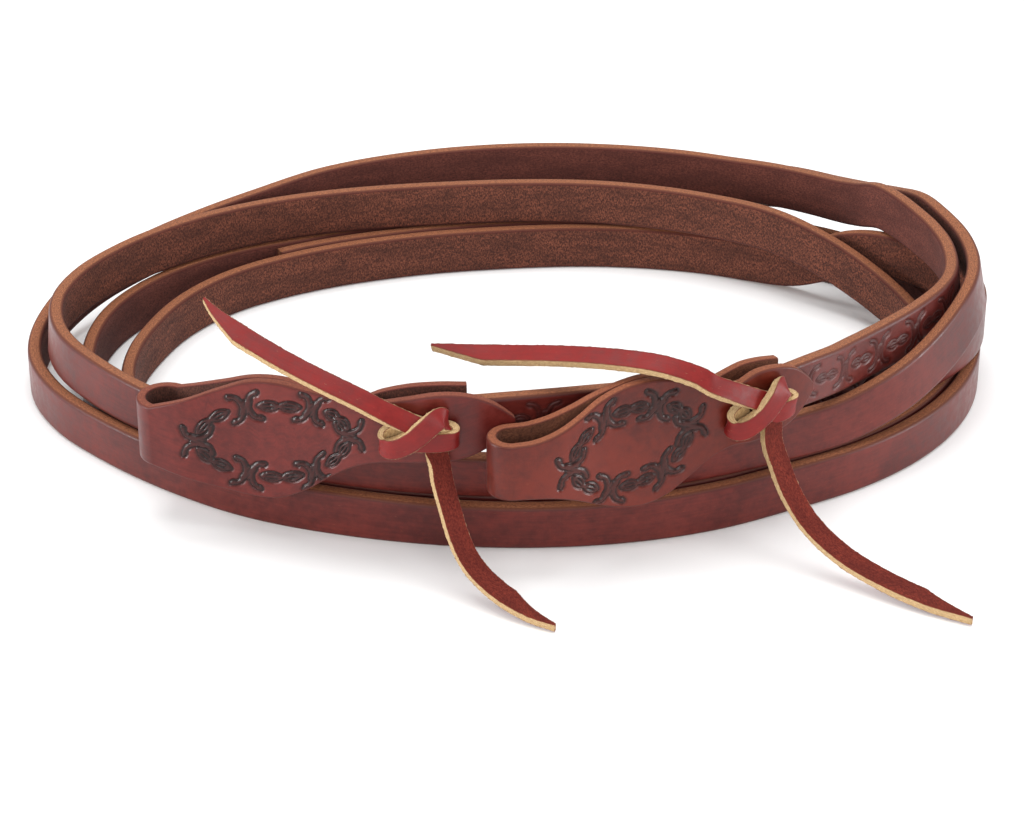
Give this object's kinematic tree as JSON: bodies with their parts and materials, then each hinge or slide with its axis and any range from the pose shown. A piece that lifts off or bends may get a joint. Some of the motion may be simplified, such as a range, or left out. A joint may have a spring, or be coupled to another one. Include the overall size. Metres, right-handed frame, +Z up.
{
  "type": "split reins",
  "caption": "Pair of leather split reins in a loose oval coil, each strap tied with a thong into a folded, border-tooled water loop.",
  "frame": {"origin": "centre of the footprint, on the surface that the coil rests on", "axes": "+Z up; +X along the coil's length, towards the right; -Y is the side where the bit ends and the thong tails lie"},
  "size_m": [0.3239, 0.2844, 0.0781],
  "materials": {
    "strap_leather": "satin, smooth grain outside and rough flesh inside",
    "burgundy_loop_leather": "satin, border tooled",
    "chestnut_loop_leather": "satin, border tooled",
    "thong_leather": "satin grain with raw fuzzy edges"
  },
  "bodies": {
    "reins": {"left_rein_strap": "strap_leather", "right_rein_strap": "strap_leather", "left_water_loop": "burgundy_loop_leather", "right_water_loop": "chestnut_loop_leather", "left_thong_knot": "thong_leather", "right_thong_knot": "thong_leather"},
    "left_upper_tail": {"left_thong_upper_tail": "thong_leather"},
    "right_upper_tail": {"right_thong_upper_tail": "thong_leather"},
    "left_lower_tail": {"left_thong_lower_tail": "thong_leather"},
    "right_lower_tail": {"right_thong_lower_tail": "thong_leather"}
  },
  "joints": [
    {"name": "left_upper_lift", "type": "hinge", "parent": "reins", "child": "left_upper_tail", "pos_m": [-0.036, -0.1068, 0.054], "axis": [0.4031, 0.9152, 0], "range_deg": [0, 25]},
    {"name": "right_upper_lift", "type": "hinge", "parent": "reins", "child": "right_upper_tail", "pos_m": [0.0639, -0.0998, 0.0586], "axis": [0.2189, 0.9757, 0], "range_deg": [0, 25]},
    {"name": "left_lower_swing", "type": "hinge", "parent": "reins", "child": "left_lower_tail", "pos_m": [-0.0203, -0.1084, 0.0385], "axis": [0, 0, 1], "range_deg": [-20, 20]},
    {"name": "right_lower_swing", "type": "hinge", "parent": "reins", "child": "right_lower_tail", "pos_m": [0.0807, -0.0944, 0.038], "axis": [0, 0, 1], "range_deg": [-20, 20]}
  ]
}
